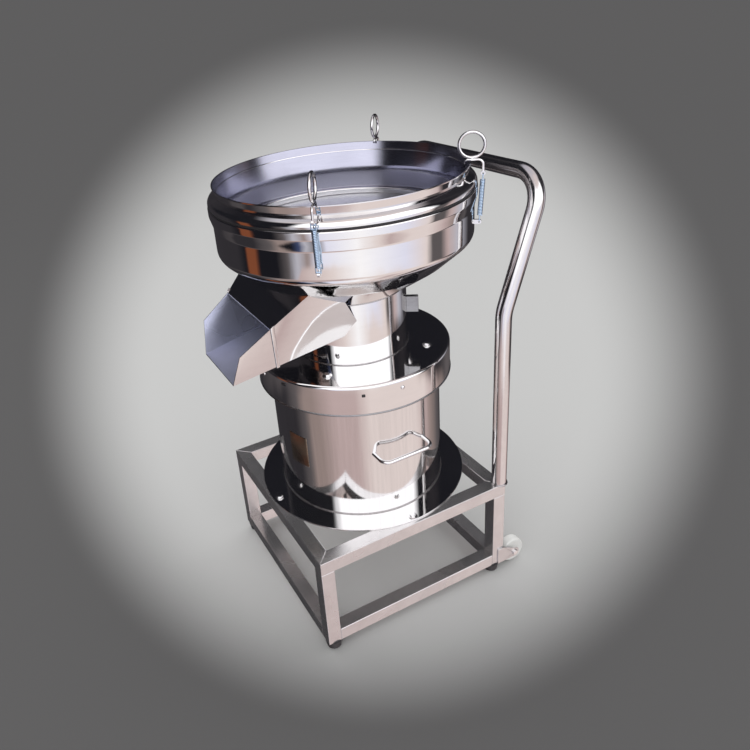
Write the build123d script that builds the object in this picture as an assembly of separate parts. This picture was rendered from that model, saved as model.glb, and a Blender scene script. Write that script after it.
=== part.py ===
from build123d import *
import math
import os

os.makedirs("parts", exist_ok=True)

# All lengths are in millimetres, all angles in degrees.
# Heights count up from the floor. The axis of drum, neck and sieve is the working axis, and the
# whole machine is moved at the end so that its own outline is centred on the origin.

# Sheet metal and small clearances
SHEET = 2.0            # wall of the spun and folded sheet parts
REST_GAP = 0.3         # play where a lifted-out piece rests on its seat
RUN_GAP = 0.08         # radial play of a pin or shaft that turns

# Trolley frame of square tube
FRAME_W = 460.0        # across, X
FRAME_D = 460.0        # front to back, Y
FRAME_H = 225.0        # from the underside of the legs to the top face
TUBE = 30.0            # side of the square tube
TUBE_WALL = 2.0
FRAME_X = 9.3          # frame centre from the working axis
FRAME_Y = -5.4
FOOT_H = 20.0          # rubber foot under each leg
FOOT_R = 18.5
FOOT_TIP_R = 15.0
FOOT_CHAMFER = 2.5
FOOT_IN_X = 15.0       # foot centre in from the outer faces of the leg
FOOT_IN_FRONT = 18.0
FOOT_IN_REAR = 24.0

# Push handle of round tube
HANDLE_R = 16.0
HANDLE_WALL = 2.0
HANDLE_IN_X = 11.6     # upright's middle in from the frame's outer face
HANDLE_IN_REAR = 8.1
HANDLE_STRAIGHT = 411.0
HANDLE_RISE = 252.0    # leaning part, measured straight up
HANDLE_LEAN = 19.0
HANDLE_KNEE_R = 90.0
HANDLE_CORNER_R = 65.0

# Rear wheels in their plate forks
WHEEL_R = 30.0
WHEEL_W = 22.0
WHEEL_LIFT = 2.0       # the tread hangs this far over the floor until the trolley is tipped
WHEEL_PLAY = 3.0       # between the tread and the leg
HUB_R = 9.0
HUB_SIDE = 2.0         # the hub stands proud of the disc on each side
TREAD_ROUND = 4.0
AXLE_R = 4.0
AXLE_HEAD_R = 7.0
AXLE_HEAD_H = 4.0
FORK_T = 3.0
FORK_ON_LEG = 16.0
FORK_TOP = 42.0        # above the underside of the legs
FORK_NOSE_R = 12.0

# Base plate and motor drum
PLATE_R = 232.0
PLATE_T = 3.0
BASE_BOLT_IN = 18.0    # bolt in from the frame's outer face
BOLT_R = 7.0
BOLT_H = 5.0
DRUM_R = 183.0
DRUM_H = 292.0
SEAT_T = 3.0
SEAT_INNER_R = 140.0

# Handles on the drum's sides
GRIP_WIRE_R = 4.2
GRIP_HALF = 58.0
GRIP_STANDOFF = 31.0
GRIP_CORNER_R = 18.0
GRIP_RISE = 152.0      # above the base plate
GRIP_SHIFT = -3.0

# Cable inlet at the back of the drum
GLAND_R = 11.0
GLAND_LEN = 18.0
GLAND_BORE_R = 4.5
GLAND_RISE = 45.0
GLAND_AZ = 135.0

# Dust cover, carried on four coil springs inside the drum
COVER_RISE = 327.0     # top of the cover above the base plate
COVER_R = 206.5
COVER_SKIRT = 65.0
COVER_EDGE_R = 6.0
COVER_BOLT_AZ = 43.0
COVER_BOLT_PCR = 163.0
COIL_H = 54.0
COIL_R = 15.0
COIL_WIRE = 4.0
COIL_TURNS = 6

# Vertical motor with a turning weight at each end of its shaft
MOUNT_R = 112.0
MOUNT_H = 72.0
MOUNT_FLANGE = 34.0
MOTOR_R = 76.0
MOTOR_H = 150.0
MOTOR_RIB = 5.0
MOTOR_RIBS = 16
SHAFT_R = 14.0
SHAFT_OUT = 48.0       # shaft beyond each end of the motor
WEIGHT_R = 68.0
WEIGHT_H = 30.0
WEIGHT_HUB_R = 26.0
WEIGHT_OFF = 8.0       # weight from the motor's end

# Neck and bowl
NECK_R = 119.6
NECK_H = 131.0
CONE_MID_SHARE = 0.6326  # where the cone bends, on the way from the neck to the bowl's wall
CONE_MID_RISE = 57.0
CONE_RISE = 101.0
CONE_BEND_R = 60.0
BOWL_R = 254.6
BOWL_WALL_H = 58.0
BOWL_CORNER_R = 20.0
RIM_OUT = 5.9          # the rim stands out from the bowl's wall
RIM_FLARE_H = 22.0
RIM_BAND_H = 15.0
RIM_LAND = 14.0        # flat inward land that carries the seal
RIM_FOOT_BEND_R = 14.0
RIM_BEND_R = 10.0
RIM_EDGE_R = 3.0

# Lifting lug on the neck
LUG_AZ = 53.0
LUG_OUT = 26.0
LUG_W = 12.0
LUG_H = 34.0
LUG_RISE = 65.0        # underside above the cover

# Discharge chute, a duct that narrows to the mouth
CHUTE_REACH = 302.0    # mouth's lower edge from the working axis
CHUTE_RISE = 25.0      # mouth's lower edge above the cover
MOUTH_TOP_REACH = 288.0
MOUTH_H = 66.0
MOUTH_LOW_HALF = 80.0
MOUTH_TOP_HALF = 102.0
BAND_LOW_REACH = 214.0
BAND_TOP_REACH = 225.0
BAND_TOP_RISE = 108.0
BAND_TOP_HALF = 111.0
FLOOR_SLOPE = 0.176
FLOOR_WIDEN = 0.081
HOOD_SLOPE = 0.83
HOOD_WIDEN = 0.42
HOOD_END_REACH = 118.0
FLOOR_END_REACH = 30.0
BAND_PROUD = 2.5
BAND_LEN = 7.0
OPEN_SHARE = 1.5       # a cut that opens the duct's top reaches this far up the section

# Sieve ring that lifts out of the bowl
SEAL_H = 3.7
SEAL_W = 11.0
COLLAR_H = 20.0
COLLAR_BAND_H = 9.0    # upright part of the collar, above the seal
COLLAR_BEND_R = 12.0
COLLAR_IN = 1.0        # collar's lower edge inside the rim's outer face
NOTCH_IN = 17.5        # the notch inside the collar's lower edge
LIP_OUT = 5.7          # the lip beyond the notch
LIP_H = 18.0
LIP_BEND_R = 25.0
LIP_EDGE_R = 1.0
SIEVE_DEPTH = 75.0     # mesh below the collar's lower edge
SIEVE_IN = 10.0        # the sieve's wall inside the notch
SIEVE_BEND_R = 60.0
SIEVE_CORNER_R = 3.0
MESH_T = 1.2
MESH_FLANGE = 18.0
CLAMP_H = 13.0
CLAMP_W = 9.0
FIT_SIDE = 1.0         # between the clamp ring or mesh and the sieve's wall

# Three spring hooks that hold the sieve ring down
HOOK_AZ = {"front": -38.0, "right": 51.0, "rear": 132.0}
SPRING_R = 5.0
SPRING_OFF_BOWL = 8.4  # lower pin from the bowl's wall
SPRING_OFF_RIM = 9.0   # upper pin from the rim
SPRING_LOW_DROP = 36.0  # lower pin below the top of the bowl's wall
SPRING_LEN = 93.0
SPRING_EYE = 11.0      # pin to coil, at each end
SPRING_RINGS = 14
EYE_PIN_R = 1.6
EYE_HALF = 6.2
EYE_R = 4.2
EYE_T = 4.0
EAR_T = 5.0
HOOK_WIRE_R = 2.25
HOOK_REACH = 10.7      # hook's tip inside the lip
HOOK_TIP_DROP = 7.0
HOOK_BEND_R = 9.0
HOOK_TIP_BEND_R = 4.0
HOOK_SINK = 1.0        # hook's wire into the top of its eye
PULL_R = 26.0
PULL_WIRE_R = 3.0
PULL_SINK = 1.1        # pull ring sunk into the hook's arm, where it is welded
PULL_PAST_LIP = 1.3    # pull ring's middle beyond the lip

# Heights that follow from the sizes above
frame_top = FOOT_H + FRAME_H
plate_top = frame_top + PLATE_T
drum_top = plate_top + DRUM_H
cover_top = plate_top + COVER_RISE
cover_under = cover_top - SHEET
seat_top = cover_under - COIL_H
neck_top = cover_top + NECK_H
bowl_corner = neck_top + CONE_RISE
bowl_wall_top = bowl_corner + BOWL_WALL_H
rim_band = bowl_wall_top + RIM_FLARE_H
rim_top = rim_band + RIM_BAND_H
collar_low = rim_top + SEAL_H + REST_GAP
notch_z = collar_low + COLLAR_H
lip_z = notch_z + LIP_H
mesh_z = collar_low - SIEVE_DEPTH

# Radii of the rim and sieve that follow from the bowl's
cone_mid_r = NECK_R + CONE_MID_SHARE * (BOWL_R - NECK_R)
rim_r = BOWL_R + RIM_OUT
collar_r = rim_r - COLLAR_IN
notch_r = collar_r - NOTCH_IN
lip_r = notch_r + LIP_OUT
sieve_r = notch_r - SIEVE_IN
spring_low_r = BOWL_R + SPRING_OFF_BOWL
spring_top_r = rim_r + SPRING_OFF_RIM
hook_tip_r = lip_r - HOOK_REACH

# The outline's middle, front to back
handle_y = FRAME_Y + FRAME_D / 2 - HANDLE_IN_REAR
bar_y = handle_y + HANDLE_RISE * math.tan(math.radians(HANDLE_LEAN))
middle_y = (bar_y + HANDLE_R - CHUTE_REACH) / 2
HOME = Location((0, -middle_y, 0))

nodes = {}


def keep(name, *solids):
    """Collect the solids of one piece, moved so that the outline is centred."""
    moved = [HOME * s for item in solids for s in item.solids()]
    nodes[name] = moved[0] if len(moved) == 1 else Compound(moved)


def point(radius, height):
    """A point of a turned profile."""
    return (radius, 0, height)


def turned_sheet(points, radii, wall=SHEET):
    """A sheet of one thickness, laid inside the given outer line and turned about the axis."""
    outer = FilletPolyline(*points, radius=radii)
    outline = offset(outer, amount=wall, side=Side.RIGHT, kind=Kind.ARC)
    return revolve(make_face(outline.edges()), axis=Axis.Z)


def turned(*points):
    """A solid turned from a closed profile of straight lines."""
    return revolve(make_face(Polyline(*points, close=True)), axis=Axis.Z)


def rod(start, end, radius):
    """A straight round bar between two points."""
    axis = Vector(*end) - Vector(*start)
    return extrude(Plane(origin=start, z_dir=axis) * Circle(radius), amount=axis.length)


def about(azimuth, shape):
    """Turn a piece that was made toward +X to its azimuth about the working axis."""
    return Rot(0, 0, azimuth) * shape


# Trolley frame: four legs under a mitred top frame, and four rails between the legs
def square_tube(length, size=TUBE, wall=TUBE_WALL):
    """Square tube along X, centred on the origin."""
    return Box(length, size, size) - Box(length + 1, size - 2 * wall, size - 2 * wall)


def mitred(length):
    """Top rail along X, its outer face toward -Y and both ends cut at 45 degrees."""
    half = length / 2
    edge = TUBE / 2
    cut = Polyline((-half, -edge), (half, -edge), (half - TUBE, edge), (-half + TUBE, edge), close=True)
    prism = extrude(make_face(cut), amount=TUBE, both=True)
    return square_tube(length) & prism


leg_len = FRAME_H - TUBE
half_w = FRAME_W / 2
half_d = FRAME_D / 2
in_w = half_w - TUBE / 2
in_d = half_d - TUBE / 2
frame = Location((FRAME_X, FRAME_Y, 0))
top_mid = frame_top - TUBE / 2
low_mid = FOOT_H + TUBE / 2

for depth_name, y_side in (("front", -1), ("rear", 1)):
    for side_name, x_side in (("left", -1), ("right", 1)):
        tube = Rot(0, 90, 0) * square_tube(leg_len)
        leg = Pos(x_side * in_w, y_side * in_d, FOOT_H + leg_len / 2) * tube
        keep("leg_" + depth_name + "_" + side_name, frame * leg)
        inset_y = FOOT_IN_FRONT if y_side < 0 else FOOT_IN_REAR
        foot_x = x_side * (half_w - FOOT_IN_X)
        foot_y = y_side * (half_d - inset_y)
        foot = Cone(FOOT_TIP_R, FOOT_R, FOOT_H, align=(Align.CENTER, Align.CENTER, Align.MIN))
        foot = chamfer(foot.edges().group_by(Axis.Z)[0], FOOT_CHAMFER)
        keep("foot_" + depth_name + "_" + side_name, frame * Pos(foot_x, foot_y, 0) * foot)

long_rail = mitred(FRAME_W)
deep_rail = mitred(FRAME_D)
keep("top_rail_front", frame * Pos(0, -in_d, top_mid) * long_rail)
keep("top_rail_rear", frame * Pos(0, in_d, top_mid) * Rot(0, 0, 180) * long_rail)
keep("top_rail_left", frame * Pos(-in_w, 0, top_mid) * Rot(0, 0, -90) * deep_rail)
keep("top_rail_right", frame * Pos(in_w, 0, top_mid) * Rot(0, 0, 90) * deep_rail)
low_x = square_tube(FRAME_W - 2 * TUBE)
low_y = Rot(0, 0, 90) * square_tube(FRAME_D - 2 * TUBE)
keep("low_rail_front", frame * Pos(0, -in_d, low_mid) * low_x)
keep("low_rail_rear", frame * Pos(0, in_d, low_mid) * low_x)
keep("low_rail_left", frame * Pos(-in_w, 0, low_mid) * low_y)
keep("low_rail_right", frame * Pos(in_w, 0, low_mid) * low_y)

# Push handle: one bent tube, up, leaning back, and across
knee_z = frame_top + HANDLE_STRAIGHT
bar_z = knee_z + HANDLE_RISE
left_x = FRAME_X - half_w + HANDLE_IN_X
right_x = FRAME_X + half_w - HANDLE_IN_X
handle_line = FilletPolyline(
    (left_x, handle_y, frame_top),
    (left_x, handle_y, knee_z),
    (left_x, bar_y, bar_z),
    (right_x, bar_y, bar_z),
    (right_x, handle_y, knee_z),
    (right_x, handle_y, frame_top),
    radius=[HANDLE_KNEE_R, HANDLE_CORNER_R, HANDLE_CORNER_R, HANDLE_KNEE_R],
)
handle_start = Plane(origin=(left_x, handle_y, frame_top), z_dir=(0, 0, 1))
handle_ring = Circle(HANDLE_R) - Circle(HANDLE_R - HANDLE_WALL)
keep("push_handle", sweep(handle_start * handle_ring, path=handle_line))

# Rear wheels: each turns on a bolt through two fork plates welded to the leg's sides
leg_back = FRAME_Y + half_d
wheel_y = leg_back + WHEEL_PLAY + WHEEL_R
wheel_z = WHEEL_LIFT + WHEEL_R
fork_blade = Polyline(
    (leg_back, FOOT_H),
    (wheel_y, wheel_z - FORK_NOSE_R),
    (wheel_y, wheel_z + FORK_NOSE_R),
    (leg_back, FOOT_H + FORK_TOP),
    close=True,
)
fork_nose = Pos(wheel_y, wheel_z) * Circle(FORK_NOSE_R)
fork_bore = Pos(wheel_y, wheel_z) * Circle(AXLE_R)
fork_inner = make_face(fork_blade) + fork_nose - fork_bore
fork_pad = Pos(leg_back, FOOT_H) * Rectangle(FORK_ON_LEG, FORK_TOP, align=(Align.MAX, Align.MIN))
fork_outer = fork_inner + fork_pad
for side_name, x_side in (("left", -1), ("right", 1)):
    leg_x = FRAME_X + x_side * in_w
    wheel_place = Pos(leg_x, wheel_y, wheel_z) * Rot(0, 90, 0)
    tyre = Cylinder(WHEEL_R, WHEEL_W)
    tyre = fillet(tyre.edges().filter_by(GeomType.CIRCLE), TREAD_ROUND)
    tyre += Cylinder(HUB_R, WHEEL_W + 2 * HUB_SIDE)
    tyre -= Cylinder(AXLE_R + RUN_GAP, WHEEL_W + 4 * HUB_SIDE)
    keep("wheel_" + side_name, wheel_place * tyre)
    outer_x = leg_x + x_side * (TUBE + FORK_T) / 2
    inner_x = leg_x - x_side * (TUBE + FORK_T) / 2
    outer_plate = Pos(outer_x, 0, 0) * extrude(Plane.YZ * fork_outer, amount=FORK_T / 2, both=True)
    inner_plate = Pos(inner_x, 0, 0) * extrude(Plane.YZ * fork_inner, amount=FORK_T / 2, both=True)
    keep("wheel_fork_" + side_name, outer_plate, inner_plate)
    axle_len = TUBE + 2 * FORK_T
    bolt = Cylinder(AXLE_R, axle_len)
    for end in (-1, 1):
        head = extrude(RegularPolygon(AXLE_HEAD_R, 6), amount=AXLE_HEAD_H / 2, both=True)
        bolt += Pos(0, 0, end * (axle_len + AXLE_HEAD_H) / 2) * head
    keep("wheel_axle_" + side_name, wheel_place * bolt)

# Base plate with four bolts into the top frame
plate = Pos(0, 0, frame_top) * Cylinder(PLATE_R, PLATE_T, align=(Align.CENTER, Align.CENTER, Align.MIN))
keep("base_plate", plate)
base_bolts = []
for dx, dy in ((0, -1), (1, 0), (0, 1), (-1, 0)):
    head = extrude(RegularPolygon(BOLT_R, 6), amount=BOLT_H)
    bolt_x = FRAME_X + dx * (half_w - BASE_BOLT_IN)
    bolt_y = FRAME_Y + dy * (half_d - BASE_BOLT_IN)
    base_bolts.append(Pos(bolt_x, bolt_y, plate_top) * head)
keep("base_bolts", *base_bolts)

# Motor drum, with the spring seat welded inside
gland_place = about(GLAND_AZ, Pos(DRUM_R, 0, plate_top + GLAND_RISE) * Rot(0, 90, 0))
drum = turned(
    point(DRUM_R - SHEET, plate_top),
    point(DRUM_R, plate_top),
    point(DRUM_R, drum_top),
    point(DRUM_R - SHEET, drum_top),
)
drum -= gland_place * Cylinder(GLAND_BORE_R, 4 * SHEET)
keep("drum", drum)
seat_ring = turned(
    point(SEAT_INNER_R, seat_top - SEAT_T),
    point(DRUM_R - SHEET, seat_top - SEAT_T),
    point(DRUM_R - SHEET, seat_top),
    point(SEAT_INNER_R, seat_top),
)
keep("spring_seat", seat_ring)
gland = Cylinder(GLAND_R, GLAND_LEN, align=(Align.CENTER, Align.CENTER, Align.MIN))
gland -= Cylinder(GLAND_BORE_R, 3 * GLAND_LEN)
gland_foot = math.sqrt(DRUM_R**2 - GLAND_R**2) - DRUM_R
gland = gland_place * Pos(0, 0, gland_foot) * gland
gland -= Pos(0, 0, plate_top) * Cylinder(DRUM_R, DRUM_H, align=(Align.CENTER, Align.CENTER, Align.MIN))
keep("cable_gland", gland)

# Carrying handles of bent rod on the drum's sides
grip_z = plate_top + GRIP_RISE
grip_x = DRUM_R + GRIP_STANDOFF
for side_name, turn in (("right", 0), ("left", 180)):
    shift = GRIP_SHIFT if turn == 0 else -GRIP_SHIFT
    low_y = shift - GRIP_HALF
    high_y = shift + GRIP_HALF
    root_x = min(math.sqrt(DRUM_R**2 - low_y**2), math.sqrt(DRUM_R**2 - high_y**2)) - GRIP_WIRE_R
    grip_line = FilletPolyline(
        (root_x, low_y, grip_z),
        (grip_x, low_y, grip_z),
        (grip_x, high_y, grip_z),
        (root_x, high_y, grip_z),
        radius=GRIP_CORNER_R,
    )
    grip = sweep(Plane(origin=(root_x, low_y, grip_z), z_dir=(1, 0, 0)) * Circle(GRIP_WIRE_R), path=grip_line)
    grip -= Pos(0, 0, plate_top) * Cylinder(DRUM_R, DRUM_H, align=(Align.CENTER, Align.CENTER, Align.MIN))
    keep("drum_handle_" + side_name, about(turn, grip))

# Dust cover: a round pan upside down, the neck stands on it
cover = turned_sheet(
    [point(0, cover_top), point(COVER_R, cover_top), point(COVER_R, cover_top - COVER_SKIRT)],
    [COVER_EDGE_R],
)
cover_bolts = []
coils = []
for quarter in range(4):
    azimuth = COVER_BOLT_AZ + 90 * quarter
    head = extrude(RegularPolygon(BOLT_R, 6), amount=BOLT_H)
    cover_bolts.append(about(azimuth, Pos(COVER_BOLT_PCR, 0, cover_top) * head))
    # A compression coil, drawn as its stack of turns
    pitch = COIL_H / COIL_TURNS
    outline = [point(COIL_R - COIL_WIRE, seat_top)]
    for turn in range(COIL_TURNS):
        foot_z = seat_top + turn * pitch
        outline.append(point(COIL_R - COIL_WIRE * 0.4, foot_z))
        outline.append(point(COIL_R, foot_z + pitch / 2))
    outline.append(point(COIL_R - COIL_WIRE * 0.4, cover_under))
    outline.append(point(COIL_R - COIL_WIRE, cover_under))
    coils.append(about(azimuth, Pos(COVER_BOLT_PCR, 0, 0) * turned(*outline)))
keep("dust_cover", cover)
keep("cover_bolts", *cover_bolts)
keep("isolation_springs", *coils)

# Motor in a short drum under the cover
mount_low = cover_under - MOUNT_H
mount = turned(
    point(MOUNT_R - SHEET * 2, cover_under),
    point(MOUNT_R, cover_under),
    point(MOUNT_R, mount_low),
    point(MOUNT_R - MOUNT_FLANGE - SHEET * 2, mount_low),
    point(MOUNT_R - MOUNT_FLANGE - SHEET * 2, mount_low + SHEET * 2),
    point(MOUNT_R - SHEET * 2, mount_low + SHEET * 2),
)
keep("motor_mount", mount)
motor_low = mount_low - MOTOR_H
motor = Pos(0, 0, mount_low) * Cylinder(MOTOR_R, MOTOR_H, align=(Align.CENTER, Align.CENTER, Align.MAX))
flange_t = 3 * SHEET
flange = Cylinder(MOUNT_R - SHEET, flange_t, align=(Align.CENTER, Align.CENTER, Align.MAX))
motor += Pos(0, 0, mount_low) * flange
rib = Box(MOTOR_RIB * 2, MOTOR_RIB, MOTOR_H - 4 * flange_t)
for place in PolarLocations(MOTOR_R, MOTOR_RIBS):
    motor += Pos(0, 0, mount_low - MOTOR_H / 2) * place * rib
motor -= Pos(0, 0, mount_low - MOTOR_H / 2) * Cylinder(SHAFT_R + RUN_GAP, 2 * MOTOR_H)
keep("motor_housing", motor)
shaft_len = MOTOR_H + 2 * SHAFT_OUT
keep("motor_shaft", Pos(0, 0, mount_low - MOTOR_H / 2) * Cylinder(SHAFT_R, shaft_len))
sector = Circle(WEIGHT_R) - Pos(0, WEIGHT_R) * Rectangle(2 * WEIGHT_R, 2 * WEIGHT_R)
sector += Circle(WEIGHT_HUB_R)
sector -= Circle(SHAFT_R)
weight = extrude(sector, amount=WEIGHT_H)
keep("weight_upper", Pos(0, 0, mount_low + WEIGHT_OFF) * weight)
keep("weight_lower", Pos(0, 0, motor_low - WEIGHT_OFF - WEIGHT_H) * weight)

# The duct of the chute: matching cross-sections from the mouth back into the bowl
chute_z = cover_top + CHUTE_RISE


def floor_point(reach):
    """Height and half width of the duct's floor at a distance in front of the axis."""
    back = CHUTE_REACH - reach
    return chute_z + FLOOR_SLOPE * back, MOUTH_LOW_HALF + FLOOR_WIDEN * back


def hood_point(reach):
    """Height and half width of the duct's top behind the band."""
    back = BAND_TOP_REACH - reach
    return chute_z + BAND_TOP_RISE + HOOD_SLOPE * back, BAND_TOP_HALF + HOOD_WIDEN * back


def section(low, top, grow):
    """Cross-section of the duct between a floor line and a top line, made larger by grow."""
    low_reach, low_z, low_half = low
    top_reach, top_z, top_half = top
    up = Vector(0, low_reach - top_reach, top_z - low_z).normalized() * grow
    corners = [
        (-low_half - grow, -low_reach - up.Y, low_z - up.Z),
        (low_half + grow, -low_reach - up.Y, low_z - up.Z),
        (top_half + grow, -top_reach + up.Y, top_z + up.Z),
        (-top_half - grow, -top_reach + up.Y, top_z + up.Z),
    ]
    return make_face(Polyline(*corners, close=True))


def mixed(first, second, share):
    """A line between two lines of the duct, or beyond the first one for a share below zero."""
    return tuple(a + (b - a) * share for a, b in zip(first, second))


def opened(low, top):
    """The same section with its sides drawn out past the top, to cut the duct open there."""
    return low, mixed(low, top, OPEN_SHARE)


def run(first, second, grow):
    """A length of the duct between two sections, each a floor line and a top line."""
    return loft([section(*first, grow), section(*second, grow)], ruled=True)


mouth_low = (CHUTE_REACH, chute_z, MOUTH_LOW_HALF)
mouth_top = (MOUTH_TOP_REACH, chute_z + MOUTH_H, MOUTH_TOP_HALF)
band_low = (BAND_LOW_REACH, *floor_point(BAND_LOW_REACH))
band_top = (BAND_TOP_REACH, chute_z + BAND_TOP_RISE, BAND_TOP_HALF)
rear_low = (FLOOR_END_REACH, *floor_point(FLOOR_END_REACH))
rear_top = (HOOD_END_REACH, *hood_point(HOOD_END_REACH))
at_mouth = (mouth_low, mouth_top)
at_band = (band_low, band_top)
at_rear = (rear_low, rear_top)

# Closed from the band back into the bowl, and open on top from the band to the mouth
before_mouth = (mixed(mouth_low, band_low, -0.1), mixed(mouth_top, band_top, -0.1))
duct_outer = run(at_mouth, at_band, 0) + run(at_band, at_rear, 0)
duct_inner = run(opened(*before_mouth), opened(*at_band), -SHEET) + run(at_band, at_rear, -SHEET)

# Bowl: cone, upright wall, and a wider rim turned in to carry the seal
bowl_line = [
    point(NECK_R, neck_top),
    point(cone_mid_r, neck_top + CONE_MID_RISE),
    point(BOWL_R, bowl_corner),
    point(BOWL_R, bowl_wall_top),
    point(rim_r, rim_band),
    point(rim_r, rim_top),
    point(rim_r - RIM_LAND, rim_top),
]
bowl = turned_sheet(bowl_line, [CONE_BEND_R, BOWL_CORNER_R, RIM_FOOT_BEND_R, RIM_BEND_R, RIM_EDGE_R])
neck = turned(
    point(NECK_R - SHEET, cover_top),
    point(NECK_R, cover_top),
    point(NECK_R, neck_top),
    point(NECK_R - SHEET, neck_top),
)
vessel_line = FilletPolyline(*bowl_line[:4], radius=[CONE_BEND_R, BOWL_CORNER_R])
vessel_edges = vessel_line.edges() + [
    Line(point(BOWL_R, bowl_wall_top), point(0, bowl_wall_top)),
    Line(point(0, bowl_wall_top), point(0, cover_top)),
    Line(point(0, cover_top), point(NECK_R, cover_top)),
    Line(point(NECK_R, cover_top), point(NECK_R, neck_top)),
]
vessel = revolve(make_face(vessel_edges), axis=Axis.Z)
keep("neck", neck - duct_inner)
keep("bowl", bowl - duct_inner)
chute = (duct_outer - duct_inner - vessel).solids().sort_by(SortBy.VOLUME)[-1]
keep("chute", chute)

# Raised band on the duct's sides and floor, where its closed part ends
behind_low = mixed(band_low, rear_low, BAND_LEN / (BAND_LOW_REACH - FLOOR_END_REACH))
behind_top = mixed(band_top, rear_top, BAND_LEN / (BAND_TOP_REACH - HOOD_END_REACH))
behind_band = (behind_low, behind_top)
band = run(at_band, behind_band, BAND_PROUD) - duct_outer
keep("chute_band", band - run(opened(*at_band), opened(*behind_band), 0))

# Sloping floor inside the neck that leads into the chute
floor_back = NECK_R - SHEET
low_z, _ = floor_point(floor_back)
high_z, _ = floor_point(-floor_back)
floor_cut = Polyline(
    (-floor_back, low_z),
    (floor_back, high_z),
    (floor_back, high_z + SHEET),
    (-floor_back, low_z + SHEET),
    close=True,
)
floor_slab = extrude(Plane.YZ * make_face(floor_cut), amount=floor_back, both=True)
floor_room = Pos(0, 0, cover_top) * Cylinder(floor_back, NECK_H, align=(Align.CENTER, Align.CENTER, Align.MIN))
keep("neck_floor", (floor_slab & floor_room))

# Lug on the neck, a folded plate
lug_z = cover_top + LUG_RISE
lug_plate = Box(LUG_OUT, LUG_W, LUG_H, align=(Align.MIN, Align.CENTER, Align.MIN))
lug_hollow = Box(LUG_OUT, LUG_W - 2 * SHEET, LUG_H, align=(Align.MIN, Align.CENTER, Align.MIN))
lug = Pos(NECK_R - SHEET, 0, lug_z) * (lug_plate - Pos(0, 0, SHEET) * lug_hollow)
lug = lug - Pos(0, 0, cover_top) * Cylinder(NECK_R, NECK_H, align=(Align.CENTER, Align.CENTER, Align.MIN))
keep("neck_lug", about(LUG_AZ, lug))

# Sieve ring: one wall from the lip to the mesh, with the collar that rests on the seal
lip_sheet = turned_sheet(
    [
        point(sieve_r - MESH_FLANGE, mesh_z - SHEET),
        point(sieve_r, mesh_z - SHEET),
        point(sieve_r, collar_low - COLLAR_H),
        point(notch_r, notch_z),
        point(lip_r - SHEET, lip_z - SHEET),
        point(lip_r, lip_z - SHEET),
    ],
    [SIEVE_CORNER_R, SIEVE_BEND_R, LIP_BEND_R, LIP_EDGE_R],
)
collar = turned_sheet(
    [point(collar_r, collar_low), point(collar_r, collar_low + COLLAR_BAND_H), point(notch_r, notch_z)],
    [COLLAR_BEND_R],
)
keep("sieve_ring", lip_sheet + collar)
mesh_r = sieve_r - SHEET - FIT_SIDE
mesh = Cylinder(mesh_r, MESH_T, align=(Align.CENTER, Align.CENTER, Align.MIN))
keep("sieve_mesh", Pos(0, 0, mesh_z) * mesh)
clamp_low = mesh_z + MESH_T
keep("mesh_clamp", turned(
    point(mesh_r - CLAMP_W, clamp_low),
    point(mesh_r, clamp_low),
    point(mesh_r, clamp_low + CLAMP_H),
    point(mesh_r - CLAMP_W, clamp_low + CLAMP_H),
))
keep("seal", turned(
    point(collar_r - SEAL_W, rim_top),
    point(collar_r, rim_top),
    point(collar_r, rim_top + SEAL_H),
    point(collar_r - SEAL_W, rim_top + SEAL_H),
))

# Spring hooks: ear on the bowl, coil with a bail at each end, hook and pull ring above
spring_low_z = bowl_wall_top - SPRING_LOW_DROP
spring_rise = math.sqrt(SPRING_LEN**2 - (spring_top_r - spring_low_r) ** 2)
spring_top_z = spring_low_z + spring_rise
lean = math.degrees(math.atan2(spring_top_r - spring_low_r, spring_rise))
arm_z = lip_z + REST_GAP + HOOK_WIRE_R
low_pin = Pos(spring_low_r, 0, spring_low_z)
top_pin = Pos(spring_top_r, 0, spring_top_z)
across = Rot(90, 0, 0)

ear_pad = Pos(BOWL_R - SHEET / 2, 0, spring_low_z) * Box(2 * (spring_low_r - BOWL_R), EAR_T, 2 * EYE_R)
ear = ear_pad + low_pin * across * Cylinder(EYE_R, EAR_T)
ear -= low_pin * across * Cylinder(EYE_PIN_R, 2 * EAR_T)
ear -= Pos(0, 0, bowl_corner) * Cylinder(BOWL_R, BOWL_WALL_H, align=(Align.CENTER, Align.CENTER, Align.MIN))
keep("bowl_ears", *[about(azimuth, ear) for azimuth in HOOK_AZ.values()])

coil_len = SPRING_LEN - 2 * SPRING_EYE
ring_pitch = coil_len / SPRING_RINGS
coil_line = [point(0, SPRING_EYE)]
for ring in range(SPRING_RINGS):
    ring_z = SPRING_EYE + ring * ring_pitch
    coil_line.append(point(SPRING_R * 0.86, ring_z))
    coil_line.append(point(SPRING_R, ring_z + ring_pitch / 2))
coil_line.append(point(SPRING_R * 0.86, SPRING_EYE + coil_len))
coil_line.append(point(0, SPRING_EYE + coil_len))
spring = turned(*coil_line)
bail_out = EYE_HALF - EYE_PIN_R
for end_z, coil_z in ((0, SPRING_EYE), (SPRING_LEN, SPRING_EYE + coil_len)):
    spring += rod((0, -EYE_HALF, end_z), (0, EYE_HALF, end_z), EYE_PIN_R)
    toward = 1 if coil_z > end_z else -1
    for y_side in (-1, 1):
        leg_foot = (0, y_side * bail_out, end_z)
        leg_head = (0, y_side * bail_out, coil_z + toward * ring_pitch / 2)
        spring += rod(leg_foot, leg_head, EYE_PIN_R)

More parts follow.
